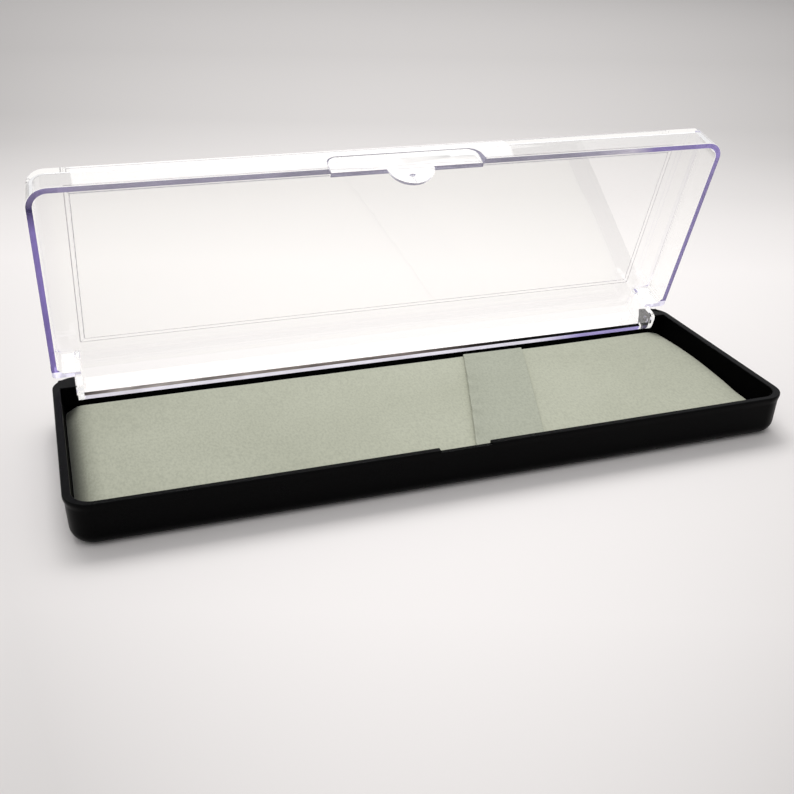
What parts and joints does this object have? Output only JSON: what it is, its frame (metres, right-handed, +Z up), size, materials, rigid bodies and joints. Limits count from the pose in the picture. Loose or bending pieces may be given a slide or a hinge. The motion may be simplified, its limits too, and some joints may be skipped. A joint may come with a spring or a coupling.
{
  "type": "pick holder",
  "caption": "Slim hinged display case: black tray, clear lid, padded velour insert with a slanted band that holds picks.",
  "frame": {"origin": "middle of the tray's flat underside", "axes": "+X along the case's length, +Y towards the hinge, +Z up"},
  "size_m": [0.175, 0.0679, 0.067],
  "materials": {
    "tray_plastic": "black polystyrene, semi-gloss",
    "lid_plastic": "crystal-clear polystyrene, polished",
    "board": "plain grey-brown board",
    "foam": "soft open foam",
    "velour": "short-pile grey-green velour",
    "band_velour": "short-pile grey-green velour"
  },
  "bodies": {
    "case": {"tray": "tray_plastic", "insert_board": "board", "insert_foam": "foam", "insert_cover": "velour", "band": "band_velour"},
    "lid_body": {"lid": "lid_plastic"}
  },
  "joints": [
    {"name": "lid_hinge", "type": "hinge", "parent": "case", "child": "lid_body", "pos_m": [0, 0.02663, 0.00942], "axis": [1, 0, 0], "range_deg": [0, 72.4]}
  ]
}
